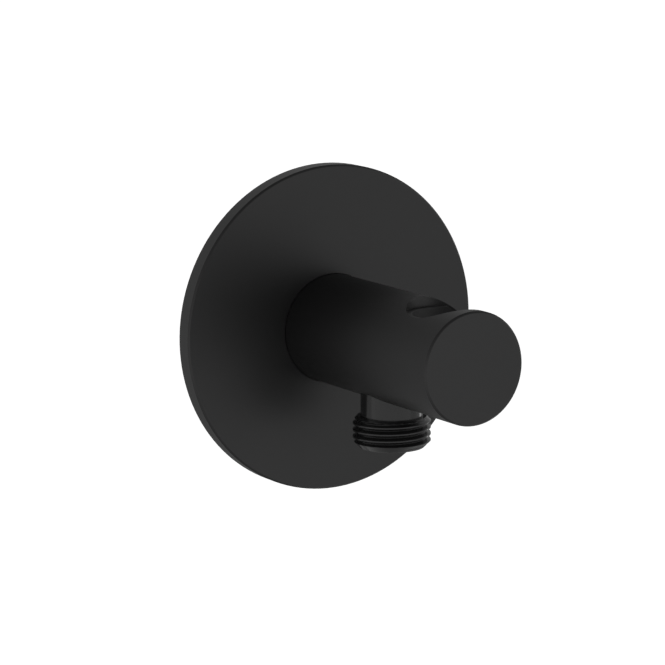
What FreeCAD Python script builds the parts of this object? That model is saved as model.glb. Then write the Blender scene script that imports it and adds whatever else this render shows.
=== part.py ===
import FreeCAD, Part
import math
import os

os.makedirs("parts", exist_ok=True)

# Wall outlet elbow with a conical socket for a hand shower. Millimetres.
# The origin is where the inlet axis meets the finished wall. +Z is up and the
# body stands out of the wall along -Y. The hose slot opens towards +X.

# Body, a round bar that lies level
body_diameter = 30.0
body_setback = 0.5           # wall to the bar's back edge
body_front_edge = 0.5
body_back_edge = 0.3
front_wall = 3.0             # metal left in front of the socket

# Wall flange, a turned disc that is hollow behind
flange_diameter = 90.0
flange_thickness = 5.0
flange_skin = 2.0
flange_rim = 2.5
flange_hub_wall = 5.0
flange_edge = 0.5
flange_gap = 0.15            # radial, between the flange and the body
gasket_width = 4.0
gasket_gap = 0.3             # between the gasket and the rim's inner wall

# Half inch pipe thread, over its rounded crests, and its end chamfer
pipe_thread_diameter = 20.95
inlet_thread_length = 15.0
inlet_thread_edge = 1.2

# Connection nipple between the wall fitting and the body
collar_diameter = 26.0
collar_length = 4.0
collar_edge = 0.4
collar_gap = 0.1             # radial, in the body's counterbore
spigot_diameter = 20.0
spigot_edge = 0.8
spigot_gap = 0.05            # radial, in the body's bore
spigot_end_gap = 1.0
bore_lead_in = 0.8           # radial, and twice as long
nipple_bore = 10.0
nipple_key_step = 1.0        # radial, from the bore to the flats of its hexagon
nipple_key_depth = 7.0

# Rubber rings, squeezed to a flat-sided section
ring_thread = 2.0            # section before it is squeezed
ring_squeeze = 0.15
ring_play = 0.4              # along the groove, beside the squeezed ring
ring_land = 1.6              # metal between grooves, and before the first

# Clamp screw with a cone point, in the underside of the body
screw_diameter = 5.0
screw_gap = 0.05
screw_from_flange = 3.5      # flange's front face to the screw's axis
screw_recess = 0.6           # below the body's underside
screw_edge = 0.3
screw_point = 1.2            # flat at the tip, and the flat of the vee groove
screw_key = 2.5
screw_key_depth = 2.5
vee_depth = 1.2

# Waterway inside the body
water_bore = 12.0
water_past_outlet = 6.5      # outlet axis to the end of the full bore
water_end_wall = 6.0         # end of the full bore to the socket
drill_point_angle = 118.0

# Outlet nipple, screwed up into the body
outlet_from_wall = 35.5
outlet_neck_diameter = 16.7
outlet_shoulder = 0.35       # radial, from the neck to the screwed end above it
outlet_bore = 10.0
outlet_projection = 12.45    # body's underside to the nipple's end
hose_thread_length = 9.1     # from the foot of the upper cone to the end
hose_thread_edge = 1.75
neck_hole_gap = 0.1
neck_hole_depth = 0.4        # at the shallow sides of the bar
neck_end_gap = 0.2
outlet_seat_wall = 1.0       # metal between the water bore and the washer
outlet_key_step = 0.2        # radial, from the bore to the flats of its hexagon
outlet_key_depth = 6.0
outlet_top_edge = 0.5
washer_thickness = 1.0
washer_inner_gap = 0.4       # radial, round the nipple's bore
washer_outer_gap = 0.2       # radial, inside the screwed hole

# Conical seat for the hand shower, in a moulded liner
seat_diameter = 21.0         # at the liner's top
seat_half_angle = 2.5
seat_lead_in = 0.2
liner_wall = 1.45            # at the liner's top
liner_gap = 0.05
bead_height = 0.2
bead_width = 1.2
hose_slot = 16.0             # clear width for the hose
cheek_thickness = 1.0        # liner on each side of the slot
cheek_setback = 0.6          # inside the body's outer surface

# Pocket in the body that holds the liner
socket_offset = 3.0          # towards the slot
socket_lip = 1.8             # ledge that the liner stands on
socket_lip_height = 2.5

# Sizes that follow from the ones above
body_radius = body_diameter / 2
pipe_radius = pipe_thread_diameter / 2
spigot_radius = spigot_diameter / 2
spigot_bore_radius = spigot_radius + spigot_gap
water_radius = water_bore / 2
neck_radius = outlet_neck_diameter / 2
neck_hole_radius = neck_radius + neck_hole_gap
outlet_screw_radius = neck_radius - outlet_shoulder
outlet_bore_radius = outlet_bore / 2
nipple_bore_radius = nipple_bore / 2

# A squeezed ring keeps its section's area, and its groove follows its length
ring_height = ring_thread * (1 - ring_squeeze)
ring_flat = math.pi * (ring_thread**2 - ring_height**2) / (4 * ring_height)
groove_length = ring_height + ring_flat + ring_play
spigot_groove_floor = spigot_bore_radius - ring_height
flange_groove_floor = body_radius + ring_height

# Flange
flange_bore_radius = body_radius + flange_gap
flange_hub_radius = flange_bore_radius + flange_hub_wall
flange_recess_radius = flange_diameter / 2 - flange_rim
recess_depth = flange_thickness - flange_skin
flange_groove = flange_thickness / 2

# Places along the body, measured from the wall
screw_from_wall = flange_thickness + screw_from_flange
spigot_end = outlet_from_wall - neck_hole_radius - ring_land - spigot_end_gap
front_groove = spigot_end - spigot_edge - ring_land - groove_length / 2
rear_groove = front_groove - groove_length - ring_land
water_end = outlet_from_wall + water_past_outlet
socket_radius = seat_diameter / 2 + liner_wall + liner_gap
socket_from_wall = water_end + water_end_wall + socket_radius
body_reach = socket_from_wall + socket_radius + front_wall

# The liner's top is flush with the lowest point of the socket's rim
lip_radius = socket_radius - socket_lip
liner_top = math.sqrt(body_radius**2 - (socket_radius - socket_offset)**2)
lip_bottom = -math.sqrt(body_radius**2 - (lip_radius - socket_offset)**2)
liner_bottom = lip_bottom + socket_lip_height
liner_slot_half = hose_slot / 2
body_slot_half = liner_slot_half + cheek_thickness + liner_gap

# Levels in the outlet's hole, measured down from the inlet axis
washer_top = water_radius + outlet_seat_wall
outlet_top = washer_top + washer_thickness
neck_hole_top = math.sqrt(body_radius**2 - neck_hole_radius**2) - neck_hole_depth
neck_top = neck_hole_top + neck_end_gap
outlet_end = body_radius + outlet_projection
thread_foot = outlet_end - hose_thread_length

Vector = FreeCAD.Vector
ORIGIN = Vector(0, 0, 0)
SIDE = Vector(1, 0, 0)
OUT_OF_WALL = Vector(0, -1, 0)
DOWN = Vector(0, 0, -1)
UP = Vector(0, 0, 1)
OUTLET = OUT_OF_WALL * outlet_from_wall
SOCKET = OUT_OF_WALL * socket_from_wall + SIDE * socket_offset
SCREW = OUT_OF_WALL * screw_from_wall
past = 1.0                   # how far a cutting shape runs past the metal


def turned(base, axis, outline):
    """Solid turned about an axis, from (radius, distance along the axis) pairs."""
    points = [base + SIDE * radius + axis * along for radius, along in outline]
    return Part.Face(Part.makePolygon(points + points[:1])).revolve(base, axis, 360)


def bar(base, axis, radius, start, end):
    return Part.makeCylinder(radius, end - start, base + axis * start, axis)


def sleeve(base, axis, inner, outer, start, end):
    return turned(base, axis, [(inner, start), (outer, start), (outer, end), (inner, end)])


def hexagon(base, axis, across_flats, start, end):
    corner = across_flats / math.sqrt(3)
    across = axis.cross(SIDE)
    points = []
    for step in range(7):
        turn = math.radians(60 * step)
        points.append(base + axis * start + SIDE * corner * math.cos(turn)
                      + across * corner * math.sin(turn))
    return Part.Face(Part.makePolygon(points)).extrude(axis * (end - start))


def squeezed_ring(inner, middle):
    """Rubber ring about the inlet axis, its section flat where two walls press it."""
    half = ring_height / 2
    outer = inner + ring_height
    start = middle - ring_flat / 2
    end = middle + ring_flat / 2

    def at(radius, along):
        return SIDE * radius + OUT_OF_WALL * along

    section = Part.Wire([
        Part.LineSegment(at(inner, start), at(inner, end)).toShape(),
        Part.Arc(at(inner, end), at(inner + half, end + half), at(outer, end)).toShape(),
        Part.LineSegment(at(outer, end), at(outer, start)).toShape(),
        Part.Arc(at(outer, start), at(inner + half, start - half), at(inner, start)).toShape(),
    ])
    return Part.Face(section).revolve(ORIGIN, OUT_OF_WALL, 360)


def ring_groove(inner, outer, middle):
    return sleeve(ORIGIN, OUT_OF_WALL, inner, outer,
                  middle - groove_length / 2, middle + groove_length / 2)


def slot_block(half_width, low, high):
    """Block from the socket's axis out through the +X side of the body."""
    corner = SOCKET + OUT_OF_WALL * half_width + UP * low
    return Part.makeBox(body_radius + past - socket_offset, 2 * half_width, high - low, corner)


def wall_flange():
    outer = flange_diameter / 2
    disc = turned(ORIGIN, OUT_OF_WALL, [
        (flange_bore_radius, 0),
        (flange_hub_radius, 0),
        (flange_hub_radius, recess_depth),
        (flange_recess_radius, recess_depth),
        (flange_recess_radius, 0),
        (outer, 0),
        (outer, flange_thickness - flange_edge),
        (outer - flange_edge, flange_thickness),
        (flange_bore_radius, flange_thickness),
    ])
    return disc.cut(ring_groove(body_radius, flange_groove_floor, flange_groove))


def flange_gasket():
    outer = flange_recess_radius - gasket_gap
    return sleeve(ORIGIN, OUT_OF_WALL, outer - gasket_width, outer, 0, recess_depth)


def flange_grip_ring():
    return squeezed_ring(body_radius, flange_groove)


def wall_nipple():
    collar_radius = collar_diameter / 2
    nipple = turned(ORIGIN, OUT_OF_WALL, [
        (nipple_bore_radius, -inlet_thread_length),
        (pipe_radius - inlet_thread_edge, -inlet_thread_length),
        (pipe_radius, inlet_thread_edge - inlet_thread_length),
        (pipe_radius, 0),
        (collar_radius - collar_edge, 0),
        (collar_radius, collar_edge),
        (collar_radius, collar_length),
        (spigot_radius, collar_length),
        (spigot_radius, spigot_end - spigot_edge),
        (spigot_radius - spigot_edge, spigot_end),
        (nipple_bore_radius, spigot_end),
    ])
    key = hexagon(ORIGIN, OUT_OF_WALL, nipple_bore + 2 * nipple_key_step,
                  spigot_end - nipple_key_depth, spigot_end + past)
    grooves = [ring_groove(spigot_groove_floor, spigot_bore_radius, middle)
               for middle in (front_groove, rear_groove)]
    return nipple.cut([key, vee_groove()] + grooves)


def vee_groove():
    """Groove round the spigot that the clamp screw's point draws forwards."""
    bottom = spigot_radius - vee_depth
    half = screw_point / 2
    deep = vee_depth + past
    return turned(ORIGIN, OUT_OF_WALL, [
        (bottom, screw_from_wall - half),
        (bottom + deep, screw_from_wall - half - deep),
        (bottom + deep, screw_from_wall + half + deep),
        (bottom, screw_from_wall + half),
    ])


def spigot_ring(middle):
    return squeezed_ring(spigot_groove_floor, middle)


def clamp_screw():
    radius = screw_diameter / 2 - screw_gap
    half = screw_point / 2
    tip = spigot_radius - vee_depth
    head = body_radius - screw_recess
    screw = turned(SCREW, DOWN, [
        (0, tip),
        (half, tip),
        (radius, tip + radius - half),
        (radius, head - screw_edge),
        (radius - screw_edge, head),
        (0, head),
    ])
    return screw.cut(hexagon(SCREW, DOWN, screw_key, head - screw_key_depth, head + past))


def body_bores():
    """Stepped bore from the back for the nipple, then the drilled waterway."""
    counterbore = collar_diameter / 2 + collar_gap
    drill_point = water_radius / math.tan(math.radians(drill_point_angle / 2))
    return turned(ORIGIN, OUT_OF_WALL, [
        (0, body_setback - past),
        (counterbore, body_setback - past),
        (counterbore, collar_length),
        (spigot_bore_radius + bore_lead_in, collar_length),
        (spigot_bore_radius, collar_length + bore_lead_in * 2),
        (spigot_bore_radius, spigot_end + spigot_end_gap),
        (water_radius, spigot_end + spigot_end_gap),
        (water_radius, water_end),
        (0, water_end + drill_point),
    ])


def outlet_hole():
    """Screwed hole with a flat floor for the washer, open into the waterway."""
    return turned(OUTLET, DOWN, [
        (0, 0),
        (outlet_bore_radius, 0),
        (outlet_bore_radius, washer_top),
        (outlet_screw_radius, washer_top),
        (outlet_screw_radius, neck_hole_top),
        (neck_hole_radius, neck_hole_top),
        (neck_hole_radius, body_radius + past),
        (0, body_radius + past),
    ])


def bead_ring(radius, gap):
    """Shallow rounded ridge half way up the liner, or the groove it snaps into."""
    middle = (liner_top + liner_bottom) / 2
    half = bead_width / 2 + gap
    return turned(SOCKET, UP, [
        (radius - bead_height, middle - half - bead_height),
        (radius + bead_height, middle - half + bead_height),
        (radius + bead_height, middle + half - bead_height),
        (radius - bead_height, middle + half + bead_height),
    ])


def socket_hole():
    """Round pocket from above, its ledge, and the slot through the +X side."""
    pocket = turned(SOCKET, UP, [
        (0, -body_radius - past),
        (lip_radius, -body_radius - past),
        (lip_radius, liner_bottom),
        (socket_radius, liner_bottom),
        (socket_radius, body_radius + past),
        (0, body_radius + past),
    ])
    slot = slot_block(body_slot_half, -body_radius - past, body_radius + past)
    return pocket.fuse([bead_ring(socket_radius, liner_gap), slot])


def elbow_body():
    blank = turned(ORIGIN, OUT_OF_WALL, [
        (0, body_setback),
        (body_radius - body_back_edge, body_setback),
        (body_radius, body_setback + body_back_edge),
        (body_radius, body_reach - body_front_edge),
        (body_radius - body_front_edge, body_reach),
        (0, body_reach),
    ])
    screw_hole = bar(SCREW, DOWN, screw_diameter / 2, 0, body_radius + past)
    return blank.cut([body_bores(), outlet_hole(), screw_hole, socket_hole()])


def seat_radius(depth):
    """Radius of the conical seat at a depth below the liner's top."""
    return seat_diameter / 2 - depth * math.tan(math.radians(seat_half_angle))


def socket_liner():
    """Moulded cup without a floor, split on one side for the hose."""
    outer = socket_radius - liner_gap
    cup = turned(SOCKET, UP, [
        (seat_radius(liner_top - liner_bottom), liner_bottom),
        (outer, liner_bottom),
        (outer, liner_top),
        (seat_radius(0) + seat_lead_in, liner_top),
        (seat_radius(seat_lead_in), liner_top - seat_lead_in),
    ])
    inside_cup = bar(SOCKET, UP, outer - cheek_thickness, liner_bottom, liner_top)
    cheeks = slot_block(body_slot_half - liner_gap, liner_bottom, liner_top).cut(inside_cup)
    slot = slot_block(liner_slot_half, liner_bottom - past, liner_top + past)
    return cup.fuse([bead_ring(outer, 0), cheeks]).cut(slot).common(liner_envelope())


def liner_envelope():
    """Space that the liner may fill. Beside the slot it stays short of the bar's surface."""
    start = socket_from_wall - socket_radius - past
    end = socket_from_wall + socket_radius + past
    short_of_surface = bar(ORIGIN, OUT_OF_WALL, body_radius - cheek_setback, start, end)
    corner = OUT_OF_WALL * end - SIDE * body_radius + DOWN * body_radius
    closed_side = Part.makeBox(body_radius, end - start, body_diameter, corner)
    return short_of_surface.fuse(closed_side)


def outlet_nipple():
    nipple = turned(OUTLET, DOWN, [
        (outlet_bore_radius, outlet_top),
        (outlet_screw_radius - outlet_top_edge, outlet_top),
        (outlet_screw_radius, outlet_top + outlet_top_edge),
        (outlet_screw_radius, neck_top),
        (neck_radius, neck_top),
        (neck_radius, thread_foot),
        (pipe_radius, thread_foot + pipe_radius - neck_radius),
        (pipe_radius, outlet_end - hose_thread_edge),
        (pipe_radius - hose_thread_edge, outlet_end),
        (outlet_bore_radius, outlet_end),
    ])
    key = hexagon(OUTLET, DOWN, outlet_bore + 2 * outlet_key_step,
                  outlet_end - outlet_key_depth, outlet_end + past)
    return nipple.cut(key)


def outlet_washer():
    return sleeve(OUTLET, DOWN, outlet_bore_radius + washer_inner_gap,
                  outlet_screw_radius - washer_outer_gap, washer_top, outlet_top)


pieces = {
    "wall_flange": wall_flange(),
    "flange_gasket": flange_gasket(),
    "flange_grip_ring": flange_grip_ring(),
    "wall_nipple": wall_nipple(),
    "spigot_ring_rear": spigot_ring(rear_groove),
    "spigot_ring_front": spigot_ring(front_groove),
    "clamp_screw": clamp_screw(),
    "elbow_body": elbow_body(),
    "socket_liner": socket_liner(),
    "outlet_nipple": outlet_nipple(),
    "outlet_washer": outlet_washer(),
}

for name, shape in pieces.items():
    shape.removeSplitter().exportStep("parts/" + name + ".step")
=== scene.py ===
import math

import bmesh
import bpy
from mathutils import Matrix, Vector


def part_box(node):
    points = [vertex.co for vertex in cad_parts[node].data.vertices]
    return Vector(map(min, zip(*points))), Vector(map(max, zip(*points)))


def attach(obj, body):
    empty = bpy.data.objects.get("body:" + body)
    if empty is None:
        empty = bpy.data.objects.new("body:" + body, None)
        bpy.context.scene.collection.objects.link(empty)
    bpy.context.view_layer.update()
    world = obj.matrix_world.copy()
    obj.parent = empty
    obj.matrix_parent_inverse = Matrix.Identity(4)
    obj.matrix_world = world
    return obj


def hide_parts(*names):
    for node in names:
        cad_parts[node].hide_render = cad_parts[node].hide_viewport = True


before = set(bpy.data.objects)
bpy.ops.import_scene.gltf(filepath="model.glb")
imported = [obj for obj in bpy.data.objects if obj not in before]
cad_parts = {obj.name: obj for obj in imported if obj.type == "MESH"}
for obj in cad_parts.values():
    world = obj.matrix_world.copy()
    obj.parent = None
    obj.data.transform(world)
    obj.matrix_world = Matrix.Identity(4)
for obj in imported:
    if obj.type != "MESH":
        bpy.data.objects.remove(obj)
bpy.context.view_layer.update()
MM = 0.001


# Wall flange and body
# The flange is a turned brass disc, hollow behind, that covers the hole in the
# wall. The body is a turned and bored bar. Both have a matte black powder coat,
# baked on: a very fine pebbled skin, whose colour and sheen drift a little.
COAT_BLACK = (0.0058, 0.0058, 0.006, 1)
COAT_WORN = (0.0078, 0.0078, 0.008, 1)
COAT_SHINE = 0.41            # specular level, as every shine here
COAT_ROUGHNESS = 0.41
PEBBLE_WIDTH = 0.45 * MM
PEBBLE_HEIGHT = 0.006 * MM
PEBBLE_SHARE = 0.6           # of the change in colour, of which the drift has the rest
PEBBLE_ROUGHNESS = 0.08      # how far the roughness varies with the pebbles
DRIFT_WIDTH = 18 * MM        # how far apart the coat's slow changes are
DRIFT_ROUGHNESS = 0.06
MIDDLE = 0.5                 # mean of a noise, which runs from 0 to 1


class Value:
    """A node's output. Arithmetic on it adds the Math nodes that work out the result."""

    def __init__(self, nodes, socket):
        self.nodes = nodes
        self.socket = socket

    def __add__(self, other):
        return self.nodes.maths("ADD", self, other)

    def __radd__(self, other):
        return self.nodes.maths("ADD", other, self)

    def __sub__(self, other):
        return self.nodes.maths("SUBTRACT", self, other)

    def __rsub__(self, other):
        return self.nodes.maths("SUBTRACT", other, self)

    def __mul__(self, other):
        return self.nodes.maths("MULTIPLY", self, other)

    def __rmul__(self, other):
        return self.nodes.maths("MULTIPLY", other, self)

    def __truediv__(self, other):
        return self.nodes.maths("DIVIDE", self, other)

    def __rtruediv__(self, other):
        return self.nodes.maths("DIVIDE", other, self)


class Nodes:
    """Builds one node tree, a finish or a shape."""

    def __init__(self, tree):
        self.tree = tree

    def add(self, kind, settings=None, inputs=None, out=0):
        """Adds a node, sets it up, feeds its sockets and gives one of its outputs."""
        made = self.tree.nodes.new(kind)
        for name, setting in (settings or {}).items():
            setattr(made, name, setting)
        for key, fed in (inputs or {}).items():
            socket = self.pick(made.inputs, key)
            if isinstance(fed, Value):
                self.tree.links.new(fed.socket, socket)
            else:
                socket.default_value = fed
        return Value(self, self.pick(made.outputs, out)) if made.outputs else made

    def maths(self, operation, *terms):
        """The result of a Math node, whose terms are numbers or values."""
        return self.add("ShaderNodeMath", {"operation": operation}, dict(enumerate(terms)))

    def pick(self, sockets, key):
        """The socket of that name, or in that place, among those that the node shows."""
        shown = [socket for socket in sockets if socket.enabled]
        if isinstance(key, int):
            return shown[key]
        return next(socket for socket in shown if socket.name == key)


class Finish(Nodes):
    """A surface finish: one material, with the few nodes that most finishes share."""

    def __init__(self, name):
        self.material = bpy.data.materials.new(name)
        self.material.use_nodes = True
        super().__init__(self.material.node_tree)
        self.tree.nodes.clear()
        self.place = self.add("ShaderNodeTexCoord", out="Object")

    def noise(self, width, detail=2):
        """Cloudy noise, whose largest clouds are about as wide as is given."""
        inputs = {"Vector": self.place, "Scale": 1 / width, "Detail": detail}
        return self.add("ShaderNodeTexNoise", None, inputs)

    def blend(self, share, low, high):
        """A colour between two, by a share of 0 to 1."""
        inputs = {"Factor": share, "A": low, "B": high}
        return self.add("ShaderNodeMix", {"data_type": "RGBA"}, inputs)

    def bump(self, height, depth):
        """Tilts the surface by a height of 0 to 1 that stands for a depth in metres."""
        return self.add("ShaderNodeBump", None, {"Height": height, "Distance": depth})

    def close(self, **sockets):
        """Ends the finish with its shader, whose sockets are given by name."""
        inputs = {name.replace("_", " "): value for name, value in sockets.items()}
        shader = self.add("ShaderNodeBsdfPrincipled", None, inputs)
        self.add("ShaderNodeOutputMaterial", None, {"Surface": shader})
        return self.material


def dress(piece, material):
    """Gives a piece its finish."""
    piece.data.materials.clear()
    piece.data.materials.append(material)


def powder_coat():
    coat = Finish("powder_coat_black")
    pebbles = coat.noise(PEBBLE_WIDTH)
    drift = coat.noise(DRIFT_WIDTH, detail=3)
    wear = pebbles * PEBBLE_SHARE + drift * (1 - PEBBLE_SHARE)
    fine = (pebbles - MIDDLE) * PEBBLE_ROUGHNESS
    slow = (drift - MIDDLE) * DRIFT_ROUGHNESS
    return coat.close(
        Base_Color=coat.blend(wear, COAT_BLACK, COAT_WORN),
        Roughness=COAT_ROUGHNESS + fine + slow,
        Specular_IOR_Level=COAT_SHINE,
        Normal=coat.bump(pebbles, PEBBLE_HEIGHT),
    )


coat = powder_coat()
for name in ("wall_flange", "elbow_body"):
    dress(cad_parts[name], coat)


# Socket liner
# A moulded cup of black plastic that is pushed into the body until its bead
# snaps in. Its cone holds the hand shower, and it is split where the hose goes
# in. The mould was spark eroded, which leaves a fine satin grain.
PLASTIC_BLACK = (0.011, 0.011, 0.0113, 1)
PLASTIC_GREY = (0.016, 0.016, 0.0164, 1)
PLASTIC_SHINE = 0.33
PLASTIC_ROUGHNESS = 0.55
GRAIN_WIDTH = 0.25 * MM
GRAIN_HEIGHT = 0.004 * MM
GRAIN_ROUGHNESS = 0.12       # how far the roughness varies with the grain
FLOW_WIDTH = 9 * MM          # how far apart the shades are that the plastic's flow left


def moulded_plastic():
    plastic = Finish("moulded_plastic_black")
    grain = plastic.noise(GRAIN_WIDTH, detail=3)
    flow = plastic.noise(FLOW_WIDTH)
    return plastic.close(
        Base_Color=plastic.blend(flow, PLASTIC_BLACK, PLASTIC_GREY),
        Roughness=PLASTIC_ROUGHNESS + (grain - MIDDLE) * GRAIN_ROUGHNESS,
        Specular_IOR_Level=PLASTIC_SHINE,
        Normal=plastic.bump(grain, GRAIN_HEIGHT),
    )


dress(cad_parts["socket_liner"], moulded_plastic())


# Outlet nipple
# Turned brass with a half inch pipe thread for the shower hose, screwed up into
# the body by the hexagon in its end. It is plated gloss black, so its neck
# mirrors the room. The die left rounded crests, and roots that run out at the top.
PITCH = 25.4 / 14 * MM       # fourteen turns to the inch
THREAD_HALF_ANGLE = math.radians(27.5)
THREAD_DEPTH = 0.6403 * PITCH          # from crest to root, as pipe threads have it
THREAD_SHARP = PITCH / 2 / math.tan(THREAD_HALF_ANGLE)     # depth of the sharp vee
THREAD_LAND = 0.43 * MM      # width of a crest before it is eased
THREAD_ROUND = 0.22 * MM     # over this height the crests and roots are eased
DIE_LEAD = 0.42              # how fast the roots run out, as a slope
AROUND = 192                 # steps round a turned piece, a multiple of six
ROWS = 28                    # steps along one pitch of a thread
MERGE_REACH = 0.001 * MM     # points this close become one
CRISP_ANGLE = math.radians(30)         # edges sharper than this aren't smoothed over

outlet_low, outlet_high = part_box("outlet_nipple")
OUTLET_AXIS = Vector((0, (outlet_low.y + outlet_high.y) / 2, 0))
outlet_crest = (outlet_high.x - outlet_low.x) / 2
outlet_top = -outlet_high.z  # below the inlet axis, as all levels of this piece
outlet_end = -outlet_low.z
EASED = 0.12 * MM            # edge broken by polishing and plating
SCREW_END_RADIUS = 8.0 * MM  # the upper end, which is screwed into the body
SCREW_END_EDGE = 0.5 * MM
NECK_TOP = 12.19 * MM
NECK_RADIUS = 8.35 * MM
HOSE_THREAD_LENGTH = 8.42 * MM
HOSE_THREAD_TOP_RADIUS = 9.3 * MM      # the flat shoulder above the thread
HOSE_ROOT_AT_TOP = 9.9 * MM            # radius at which the roots run out
HOSE_THREAD_EDGE = 1.75 * MM           # the cone at the thread's lower end
HOSE_CREST_AT_SIDE = 23.57 * MM        # level of a crest on the +X side
OUTLET_BORE_RADIUS = 5.0 * MM
OUTLET_KEY = 10.4 * MM       # across the flats of the hexagon
OUTLET_KEY_DEPTH = 6.0 * MM

GLOSS_BLACK = (0.0098, 0.0098, 0.01, 1)
GLOSS_HAZY = (0.0134, 0.0134, 0.0136, 1)
GLOSS_SHINE = 0.37
GLOSS_ROUGHNESS = 0.17
HAZE_WIDTH = 6 * MM
HAZE_ROUGHNESS = 0.06        # added where the haze is thickest
PEEL_WIDTH = 1.6 * MM        # faint waves in the plating
PEEL_HEIGHT = 0.0015 * MM


def thread_shape():
    """Tree that adds a threaded stretch, on the local Z axis, to a turned blank.

    The stretch is a net of points. Its columns run along the axis and its rows
    follow the helix, so that every row lies at one height of the thread's flank.
    """
    tree = bpy.data.node_groups.new("cut_thread", "GeometryNodeTree")
    kinds = {
        "Blank": "Geometry",
        "Crest radius": "Float",
        "Depth": "Float",
        "Sharp depth": "Float",
        "Land": "Float",
        "Rounding": "Float",
        "Pitch": "Float",
        "Start": "Float",
        "End": "Float",
        "Start radius": "Float",
        "Run out radius": "Float",
        "Die lead": "Float",
        "End radius": "Float",
        "Crest at side": "Float",
        "Around": "Int",
        "Rows in a pitch": "Int",
        "Place": "Vector",
        "Turn": "Rotation",
        "Finish": "Material",
    }
    for name, kind in kinds.items():
        tree.interface.new_socket(name, in_out="INPUT", socket_type="NodeSocket" + kind)
    tree.interface.new_socket("Piece", in_out="OUTPUT", socket_type="NodeSocketGeometry")
    shape = Nodes(tree)
    given_node = tree.nodes.new("NodeGroupInput")
    given = {name: Value(shape, given_node.outputs[name]) for name in kinds}

    # The net is one pitch longer than the thread, because its rows climb by one
    # pitch in a turn. What stands past either end is pressed onto that end.
    step = given["Pitch"] / given["Rows in a pitch"]
    length = given["End"] - given["Start"]
    rows = shape.maths("CEIL", (length + given["Pitch"]) / step)
    size = {"Size X": 1.0, "Size Y": 1.0, "Vertices X": given["Around"] + 1, "Vertices Y": rows + 1}
    net = shape.add("GeometryNodeMeshGrid", None, size, "Mesh")
    knot = {"Vector": shape.add("GeometryNodeInputPosition")}
    turns = shape.add("ShaderNodeSeparateXYZ", None, knot, "X") + 0.5
    row = (shape.add("ShaderNodeSeparateXYZ", None, knot, "Y") + 0.5) * rows
    along = given["Start"] + row * step + (turns - 1) * given["Pitch"]
    along = shape.maths("MINIMUM", shape.maths("MAXIMUM", along, given["Start"]), given["End"])

    # The profile is a vee with a land on its crest. Its roots rise towards the
    # start, and a cone cuts each end down.
    phase = (along - given["Crest at side"]) / given["Pitch"] - turns
    from_crest = shape.maths("ABSOLUTE", shape.maths("WRAP", phase, 0.5, -0.5)) * 2
    run_out = given["Run out radius"] - (along - given["Start"]) * given["Die lead"]
    root = shape.maths("MAXIMUM", given["Crest radius"] - given["Depth"], run_out)
    over = given["Land"] * given["Sharp depth"] / given["Pitch"]
    vee = given["Crest radius"] + over - from_crest * given["Sharp depth"]
    crest = shape.maths("SMOOTH_MIN", vee, given["Crest radius"], given["Rounding"])
    cut = shape.maths("SMOOTH_MAX", crest, root, given["Rounding"])
    start_cone = given["Start radius"] + along - given["Start"]
    end_cone = given["End radius"] + given["End"] - along
    radius = shape.maths("MINIMUM", cut, shape.maths("MINIMUM", start_cone, end_cone))

    # The net is rolled up, joined to the blank, put in place and given its finish.
    angle = turns * (2 * math.pi)
    point = shape.add("ShaderNodeCombineXYZ", None, {
        "X": radius * shape.maths("COSINE", angle),
        "Y": radius * shape.maths("SINE", angle),
        "Z": along,
    })
    placed = shape.add("GeometryNodeSetPosition", None, {"Geometry": net, "Position": point})
    join = tree.nodes.new("GeometryNodeJoinGeometry")
    for stretch in (placed, given["Blank"]):
        tree.links.new(stretch.socket, join.inputs[0])
    joined = {"Geometry": Value(shape, join.outputs[0]), "Distance": MERGE_REACH}
    whole = shape.add("GeometryNodeMergeByDistance", None, joined)
    turned = {"Geometry": whole, "Translation": given["Place"], "Rotation": given["Turn"]}
    moved = shape.add("GeometryNodeTransform", None, turned)
    real = shape.add("GeometryNodeRealizeInstances", None, {"Geometry": moved})
    coated = {"Geometry": real, "Material": given["Finish"]}
    finished = shape.add("GeometryNodeSetMaterial", None, coated)
    shape.add("NodeGroupOutput", None, {"Piece": finished})
    return tree


def ring(radius, along, six_sided=False):
    """Points round the local Z axis, on a circle or on a hexagon of that inner radius."""
    points = []
    for step in range(AROUND):
        turn = 2 * math.pi * step / AROUND
        reach = radius
        if six_sided:
            reach = radius / math.cos((turn + math.pi / 6) % (math.pi / 3) - math.pi / 6)
        points.append((reach * math.cos(turn), reach * math.sin(turn), along))
    return points


def turned_blank(name, rings):
    """Skin over a row of rings, open at its first and last one."""
    mesh = bpy.data.meshes.new(name)
    points = [point for one in rings for point in one]
    faces = []
    for level in range(len(rings) - 1):
        for step in range(AROUND):
            here = level * AROUND + step
            after = level * AROUND + (step + 1) % AROUND
            faces.append((here, after, after + AROUND, here + AROUND))
    mesh.from_pydata(points, [], faces)
    piece = bpy.data.objects.new(name, mesh)
    bpy.context.scene.collection.objects.link(piece)
    return piece


def cut_thread(piece, **sizes):
    """Adds the threaded stretch to a blank and makes the result a plain mesh."""
    shape = piece.modifiers.new("thread", "NODES")
    shape.node_group = thread_tree
    common = {
        "Depth": THREAD_DEPTH,
        "Sharp depth": THREAD_SHARP,
        "Land": THREAD_LAND,
        "Die lead": DIE_LEAD,
        "Rounding": THREAD_ROUND,
        "Pitch": PITCH,
        "Around": AROUND,
        "Rows in a pitch": ROWS,
    }
    wanted = common | {name.replace("_", " "): value for name, value in sizes.items()}
    for socket in thread_tree.interface.items_tree:
        if socket.in_out == "INPUT" and socket.name in wanted:
            shape[socket.identifier] = wanted[socket.name]
    evaluated = piece.evaluated_get(bpy.context.evaluated_depsgraph_get())
    mesh = bpy.data.meshes.new_from_object(evaluated)
    piece.modifiers.clear()
    piece.data = mesh
    clean(mesh)


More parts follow.
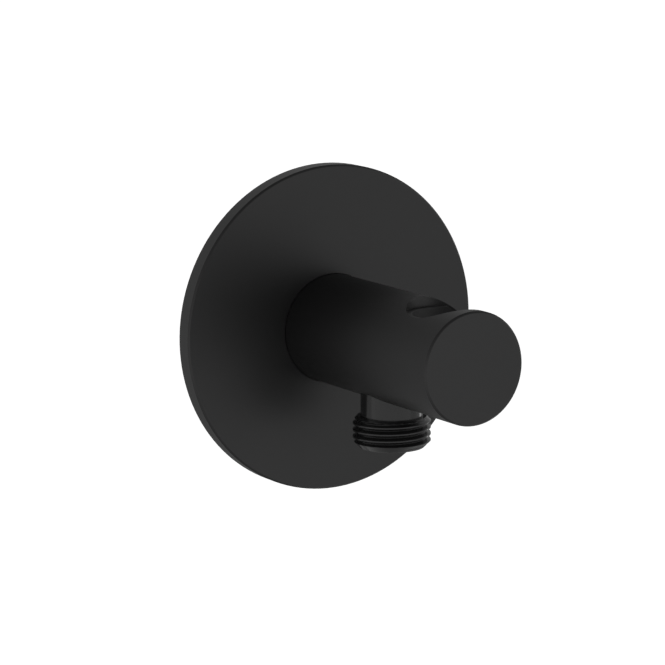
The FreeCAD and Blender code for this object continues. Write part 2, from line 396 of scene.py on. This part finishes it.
def clean(mesh):
    """Turns all faces outwards and keeps sharp edges crisp."""
    work = bmesh.new()
    work.from_mesh(mesh)
    bmesh.ops.recalc_face_normals(work, faces=work.faces)
    work.to_mesh(mesh)
    work.free()
    mesh.shade_smooth()
    mesh.set_sharp_from_angle(angle=CRISP_ANGLE)


def gloss_black():
    gloss = Finish("gloss_black_plating")
    haze = gloss.noise(HAZE_WIDTH, detail=3)
    peel = gloss.noise(PEEL_WIDTH)
    return gloss.close(
        Base_Color=gloss.blend(haze, GLOSS_BLACK, GLOSS_HAZY),
        Roughness=GLOSS_ROUGHNESS + haze * HAZE_ROUGHNESS,
        Specular_IOR_Level=GLOSS_SHINE,
        Normal=gloss.bump(peel, PEEL_HEIGHT),
    )


thread_tree = thread_shape()
hose_thread_top = outlet_end - HOSE_THREAD_LENGTH
hose_thread_end = outlet_end - EASED / 2
hose_end_radius = outlet_crest - HOSE_THREAD_EDGE
outlet_rings = [
    ring(hose_end_radius, hose_thread_end),
    ring(hose_end_radius - EASED, outlet_end),
    ring(OUTLET_KEY / 2 + EASED, outlet_end, six_sided=True),
    ring(OUTLET_KEY / 2, outlet_end - EASED, six_sided=True),
    ring(OUTLET_KEY / 2, outlet_end - OUTLET_KEY_DEPTH, six_sided=True),
    ring(OUTLET_BORE_RADIUS, outlet_end - OUTLET_KEY_DEPTH),
    ring(OUTLET_BORE_RADIUS, outlet_top),
    ring(SCREW_END_RADIUS - SCREW_END_EDGE, outlet_top),
    ring(SCREW_END_RADIUS, outlet_top + SCREW_END_EDGE),
    ring(SCREW_END_RADIUS, NECK_TOP),
    ring(NECK_RADIUS, NECK_TOP),
    ring(NECK_RADIUS, hose_thread_top),
    ring(HOSE_THREAD_TOP_RADIUS, hose_thread_top),
]
outlet = turned_blank("hose_outlet", outlet_rings)
cut_thread(
    outlet,
    Crest_radius=outlet_crest,
    Start=hose_thread_top,
    End=hose_thread_end,
    Start_radius=HOSE_THREAD_TOP_RADIUS,
    Run_out_radius=HOSE_ROOT_AT_TOP,
    End_radius=hose_end_radius,
    Crest_at_side=HOSE_CREST_AT_SIDE,
    Place=OUTLET_AXIS,
    Turn=(math.pi, 0, 0),
)
dress(outlet, gloss_black())
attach(outlet, "root")
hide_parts("outlet_nipple")


# Connection nipple
# Bare turned brass. Its half inch thread goes into the fitting in the wall, the
# collar stops it at the wall's face, and the body slides over its spigot. It is
# driven by a hexagon inside. Only its back end shows, from behind.
nipple_low, nipple_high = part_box("wall_nipple")
spigot_end = nipple_low.y    # along +Y from the wall's face, as all places of this piece
nipple_end = nipple_high.y
COLLAR_RADIUS = (nipple_high.x - nipple_low.x) / 2
COLLAR_LENGTH = 4.0 * MM
COLLAR_EDGE = 0.4 * MM
SPIGOT_RADIUS = 10.0 * MM
SPIGOT_EDGE = 0.8 * MM
GROOVE_FLOOR = 8.35 * MM     # radius of a ring groove's floor
GROOVE_SPARE = 0.2 * MM      # room at each side of the ring
VEE_FLOOR = 8.8 * MM         # radius of the floor of the vee that takes the clamp screw
VEE_FLAT = 0.6 * MM          # half the width of that floor
NIPPLE_BORE_RADIUS = 5.0 * MM
NIPPLE_KEY = 12.0 * MM       # across the flats of the hexagon
NIPPLE_KEY_DEPTH = 7.0 * MM
INLET_CREST_RADIUS = 10.475 * MM
INLET_ROOT_RADIUS = INLET_CREST_RADIUS - THREAD_DEPTH
INLET_END_RADIUS = INLET_CREST_RADIUS - 1.2 * MM

BRASS_BRIGHT = (0.66, 0.46, 0.19, 1)
BRASS_TARNISHED = (0.5, 0.33, 0.13, 1)
BRASS_ROUGHNESS = 0.26
TARNISH_WIDTH = 5 * MM
TARNISH_ROUGHNESS = 0.12
FLECK_WIDTH = 0.4 * MM
FLECK_HEIGHT = 0.002 * MM
FLECK_ROUGHNESS = 0.06


def turned_brass():
    brass = Finish("turned_brass")
    tarnish = brass.noise(TARNISH_WIDTH, detail=4)
    flecks = brass.noise(FLECK_WIDTH)
    fine = (flecks - MIDDLE) * FLECK_ROUGHNESS
    return brass.close(
        Base_Color=brass.blend(tarnish, BRASS_BRIGHT, BRASS_TARNISHED),
        Metallic=1.0,
        Roughness=BRASS_ROUGHNESS + tarnish * TARNISH_ROUGHNESS + fine,
        Normal=brass.bump(flecks, FLECK_HEIGHT),
    )


def groove(front, rear):
    """Rings of one groove in the spigot, from its rear side to its front side."""
    return [
        ring(SPIGOT_RADIUS, rear),
        ring(GROOVE_FLOOR, rear),
        ring(GROOVE_FLOOR, front),
        ring(SPIGOT_RADIUS, front),
    ]


screw_low, screw_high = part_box("clamp_screw")
vee_middle = (screw_low.y + screw_high.y) / 2
vee_reach = VEE_FLAT + (SPIGOT_RADIUS - VEE_FLOOR)

nipple_rings = [
    ring(INLET_ROOT_RADIUS, 0),
    ring(COLLAR_RADIUS - COLLAR_EDGE, 0),
    ring(COLLAR_RADIUS, -COLLAR_EDGE),
    ring(COLLAR_RADIUS, -COLLAR_LENGTH),
    ring(SPIGOT_RADIUS, -COLLAR_LENGTH),
    ring(SPIGOT_RADIUS, vee_middle + vee_reach),
    ring(VEE_FLOOR, vee_middle + VEE_FLAT),
    ring(VEE_FLOOR, vee_middle - VEE_FLAT),
    ring(SPIGOT_RADIUS, vee_middle - vee_reach),
]
for name in ("spigot_ring_rear", "spigot_ring_front"):
    ring_low, ring_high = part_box(name)
    nipple_rings += groove(ring_low.y - GROOVE_SPARE, ring_high.y + GROOVE_SPARE)
nipple_rings += [
    ring(SPIGOT_RADIUS, spigot_end + SPIGOT_EDGE),
    ring(SPIGOT_RADIUS - SPIGOT_EDGE, spigot_end),
    ring(NIPPLE_KEY / 2, spigot_end, six_sided=True),
    ring(NIPPLE_KEY / 2, spigot_end + NIPPLE_KEY_DEPTH, six_sided=True),
    ring(NIPPLE_BORE_RADIUS, spigot_end + NIPPLE_KEY_DEPTH),
    ring(NIPPLE_BORE_RADIUS, nipple_end - EASED),
    ring(NIPPLE_BORE_RADIUS + EASED, nipple_end),
    ring(INLET_END_RADIUS, nipple_end),
]
nipple = turned_blank("connection_nipple", nipple_rings)
cut_thread(
    nipple,
    Crest_radius=INLET_CREST_RADIUS,
    Start=0.0,
    End=nipple_end,
    Start_radius=INLET_ROOT_RADIUS,
    Run_out_radius=INLET_ROOT_RADIUS,
    End_radius=INLET_END_RADIUS,
    Crest_at_side=PITCH,
    Place=Vector(),
    Turn=(-math.pi / 2, 0, 0),
)
dress(nipple, turned_brass())
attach(nipple, "root")
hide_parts("wall_nipple")


# Clamp screw
# A steel grub screw with a cone point, blackened, in the underside of the body.
# Its point draws the body back onto the nipple's collar.
OXIDE_BLACK = (0.03, 0.03, 0.032, 1)
OXIDE_BLOOM = (0.055, 0.053, 0.052, 1)
OXIDE_ROUGHNESS = 0.38
BLOOM_WIDTH = 1.2 * MM
BLOOM_HEIGHT = 0.003 * MM
BLOOM_ROUGHNESS = 0.15


def black_oxide():
    oxide = Finish("black_oxide_steel")
    bloom = oxide.noise(BLOOM_WIDTH, detail=4)
    return oxide.close(
        Base_Color=oxide.blend(bloom, OXIDE_BLACK, OXIDE_BLOOM),
        Metallic=1.0,
        Roughness=OXIDE_ROUGHNESS + bloom * BLOOM_ROUGHNESS,
        Normal=oxide.bump(bloom, BLOOM_HEIGHT),
    )


dress(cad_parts["clamp_screw"], black_oxide())


# Rings, gasket and washer
# Moulded nitrile rings seal the spigot and grip the body in the flange's bore,
# a strip of closed cell foam lies behind the flange's rim, and a white washer
# seals the outlet nipple in the body.
RUBBER_BLACK = (0.013, 0.013, 0.013, 1)
RUBBER_DUSTY = (0.022, 0.022, 0.021, 1)
RUBBER_ROUGHNESS = 0.5
DUST_WIDTH = 0.8 * MM
DUST_HEIGHT = 0.003 * MM
DUST_ROUGHNESS = 0.15

# the pores' darker colour is painted shade in the hollows of the cells
FOAM_PORE_SHADE = (0.03, 0.03, 0.031, 1)
FOAM_WALL = (0.07, 0.07, 0.072, 1)
FOAM_SHINE = 0.25
FOAM_ROUGHNESS = 0.85
CELL_WIDTH = 0.7 * MM
CELL_DEPTH = 0.08 * MM

WASHER_WHITE = (0.82, 0.82, 0.8, 1)
WASHER_DULL = (0.75, 0.75, 0.72, 1)
WASHER_ROUGHNESS = 0.45
SKIN_WIDTH = 1.5 * MM        # waves in the sheet that the washer was cut from
SKIN_HEIGHT = 0.004 * MM
SKIN_ROUGHNESS = 0.1


def seal_rubber():
    rubber = Finish("seal_rubber")
    dust = rubber.noise(DUST_WIDTH, detail=3)
    return rubber.close(
        Base_Color=rubber.blend(dust, RUBBER_BLACK, RUBBER_DUSTY),
        Roughness=RUBBER_ROUGHNESS + dust * DUST_ROUGHNESS,
        Normal=rubber.bump(dust, DUST_HEIGHT),
    )


def foam():
    cells = Finish("closed_cell_foam")
    inputs = {"Vector": cells.place, "Scale": 1 / CELL_WIDTH}
    from_pore = cells.add("ShaderNodeTexVoronoi", None, inputs, "Distance")
    return cells.close(
        # painted shade: the colour darkens towards each cell's middle, where the bump dips
        Base_Color=cells.blend(from_pore, FOAM_PORE_SHADE, FOAM_WALL),
        Roughness=FOAM_ROUGHNESS,
        Specular_IOR_Level=FOAM_SHINE,
        Normal=cells.bump(from_pore, CELL_DEPTH),
    )


def white_sheet():
    sheet = Finish("white_washer_plastic")
    skin = sheet.noise(SKIN_WIDTH)
    return sheet.close(
        Base_Color=sheet.blend(skin, WASHER_WHITE, WASHER_DULL),
        Roughness=WASHER_ROUGHNESS + skin * SKIN_ROUGHNESS,
        Normal=sheet.bump(skin, SKIN_HEIGHT),
    )


rubber = seal_rubber()
for name in ("spigot_ring_rear", "spigot_ring_front", "flange_grip_ring"):
    dress(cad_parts[name], rubber)
dress(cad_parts["flange_gasket"], foam())
dress(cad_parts["outlet_washer"], white_sheet())


# Floor and light
# A pale floor one metre below, where a shower's floor is, in a plain white room
# that is dimmer overhead. A grey cloth stands round the back, seen by reflections
# only, and a small soft lamp low at the right picks out the hose thread.
WHITE = (1, 1, 1, 1)
FLOOR_LEVEL = -1.0
FLOOR_REACH = 40.0
FLOOR_PALE = (0.75, 0.75, 0.75, 1)
FLOOR_LIFT = 0.78            # added for what sees the far floor, so that it shows white
FLOOR_NEAR = 2.2             # how far from the part the lift comes to its full strength
OVERHEAD = 0.1               # light from straight above, as a share of the horizon's
OVERHEAD_FALL = 0.56         # how slowly the room dims towards the ceiling
CLOTH_START = math.radians(40)         # azimuths, from the front towards the right
CLOTH_END = math.radians(250)
CLOTH_REACH = 0.9
CLOTH_HEIGHT = 0.9           # at its middle, from which its top edge curves down
CLOTH_STEPS = 32
CLOTH_LEVEL = 0.68           # its shade before it falls, as a share of the horizon's
CLOTH_FALL = (0.14, 0.3, 0)            # how its shade falls, in a metre along each axis
CLOTH_FOOT_FALL = 0.22       # and how much more it falls low down at the back
LAMP_AZIMUTH = math.radians(96)
LAMP_ELEVATION = math.radians(-10)
LAMP_DISTANCE = 0.12         # from the middle of the hose thread
LAMP_SIZE = 0.025
LAMP_POWER = 0.00018         # in watts
LAMP_SPREAD = math.radians(40)         # a snoot keeps it off the socket

floor_mesh = bpy.data.meshes.new("floor")
corners = [(-1, -1), (1, -1), (1, 1), (-1, 1)]
floor_points = [(x * FLOOR_REACH, y * FLOOR_REACH, FLOOR_LEVEL) for x, y in corners]
floor_mesh.from_pydata(floor_points, [], [(0, 1, 2, 3)])
floor = bpy.data.objects.new("floor", floor_mesh)
bpy.context.scene.collection.objects.link(floor)

paint = Finish("floor_paint")
rays = ["Is Camera Ray", "Is Glossy Ray", "Is Transmission Ray"]
camera_ray, glossy_ray, clear_ray = [paint.add("ShaderNodeLightPath", out=ray) for ray in rays]
seen = paint.maths("MINIMUM", camera_ray + glossy_ray + clear_ray, 1.0)
ends = {0: paint.place, 1: (0, 0, FLOOR_LEVEL)}
from_foot = paint.add("ShaderNodeVectorMath", {"operation": "DISTANCE"}, ends, "Value")
far = paint.maths("MINIMUM", from_foot / FLOOR_NEAR, 1.0)
lit = paint.add("ShaderNodeBsdfDiffuse", None, {"Color": FLOOR_PALE})
lift = {"Color": WHITE, "Strength": seen * far * FLOOR_LIFT}
glow = paint.add("ShaderNodeEmission", None, lift)
both = paint.add("ShaderNodeAddShader", None, {0: lit, 1: glow})
paint.add("ShaderNodeOutputMaterial", None, {"Surface": both})
floor_mesh.materials.append(paint.material)

world = bpy.data.worlds.new("white_room")
world.use_nodes = True
bpy.context.scene.world = world
room = Nodes(world.node_tree)
room.tree.nodes.clear()
direction = {"Vector": room.add("ShaderNodeTexCoord", out="Generated")}
rise = room.maths("MAXIMUM", room.add("ShaderNodeSeparateXYZ", None, direction, "Z"), 0.0)
level = OVERHEAD + (1 - OVERHEAD) * room.maths("EXPONENT", rise * (-1 / OVERHEAD_FALL))
white = room.add("ShaderNodeBackground", None, {"Color": WHITE, "Strength": level})
room.add("ShaderNodeOutputWorld", None, {"Surface": white})

cloth_points = []
for step in range(CLOTH_STEPS + 1):
    share = step / CLOTH_STEPS
    turn = CLOTH_START + (CLOTH_END - CLOTH_START) * share
    for height in (FLOOR_LEVEL, CLOTH_HEIGHT * math.sin(math.pi * share)):
        cloth_points.append((CLOTH_REACH * math.sin(turn), -CLOTH_REACH * math.cos(turn), height))
cloth_faces = [(foot, foot + 2, foot + 3, foot + 1) for foot in range(0, 2 * CLOTH_STEPS, 2)]
cloth_mesh = bpy.data.meshes.new("grey_cloth")
cloth_mesh.from_pydata(cloth_points, [], cloth_faces)
cloth = bpy.data.objects.new("grey_cloth", cloth_mesh)
bpy.context.scene.collection.objects.link(cloth)
cloth.visible_camera = False
cloth.visible_diffuse = False
cloth.visible_shadow = False

grey = Finish("cloth_grey")
slope = {0: grey.place, 1: CLOTH_FALL}
fall = grey.add("ShaderNodeVectorMath", {"operation": "DOT_PRODUCT"}, slope, "Value")
spot = {"Vector": grey.place}
below = grey.maths("MAXIMUM", -1 * grey.add("ShaderNodeSeparateXYZ", None, spot, "Z"), 0.0)
behind = grey.maths("MAXIMUM", grey.add("ShaderNodeSeparateXYZ", None, spot, "Y"), 0.0)
shade = CLOTH_LEVEL - fall - CLOTH_FOOT_FALL * below * behind
shine = grey.add("ShaderNodeEmission", None, {"Color": WHITE, "Strength": shade})
grey.add("ShaderNodeOutputMaterial", None, {"Surface": shine})
cloth_mesh.materials.append(grey.material)

lamp = bpy.data.lights.new("soft_lamp", "AREA")
lamp.shape = "DISK"
lamp.size = LAMP_SIZE
lamp.energy = LAMP_POWER
lamp.spread = LAMP_SPREAD
soft_lamp = bpy.data.objects.new("soft_lamp", lamp)
lamp_side = Vector((math.sin(LAMP_AZIMUTH), -math.cos(LAMP_AZIMUTH), 0)) * math.cos(LAMP_ELEVATION)
lamp_reach = (lamp_side + Vector((0, 0, math.sin(LAMP_ELEVATION)))) * LAMP_DISTANCE
thread_middle = OUTLET_AXIS - Vector((0, 0, outlet_end - HOSE_THREAD_LENGTH / 2))
soft_lamp.location = thread_middle + lamp_reach
soft_lamp.rotation_euler = lamp_reach.to_track_quat("Z", "Y").to_euler()
soft_lamp.visible_camera = False
bpy.context.scene.collection.objects.link(soft_lamp)

bpy.context.scene.view_settings.view_transform = "Standard"


# Camera
# A long lens from the front left, a little above the body, aimed close to the
# point where the inlet axis meets the wall.
CAMERA_AZIMUTH = math.radians(-31.141)
CAMERA_ELEVATION = math.radians(10.24)
CAMERA_DISTANCE = 881.43 * MM
CAMERA_ASIDE = 2.53 * MM     # how far it is moved to the picture's right
CAMERA_ABOVE = -2.03 * MM    # and up
SENSOR_WIDTH = 36            # in millimetres, as the lens is
LENS_LENGTH = 173.29

level_back = Vector((math.sin(CAMERA_AZIMUTH), -math.cos(CAMERA_AZIMUTH), 0))
back = level_back * math.cos(CAMERA_ELEVATION) + Vector((0, 0, math.sin(CAMERA_ELEVATION)))
right = Vector((math.cos(CAMERA_AZIMUTH), math.sin(CAMERA_AZIMUTH), 0))
up = back.cross(right)
lens = bpy.data.cameras.new("camera")
lens.sensor_width = SENSOR_WIDTH
lens.lens = LENS_LENGTH
camera = bpy.data.objects.new("camera", lens)
stand = back * CAMERA_DISTANCE + right * CAMERA_ASIDE + up * CAMERA_ABOVE
camera.matrix_world = Matrix.Translation(stand) @ Matrix((right, up, back)).transposed().to_4x4()
bpy.context.scene.collection.objects.link(camera)
bpy.context.scene.camera = camera
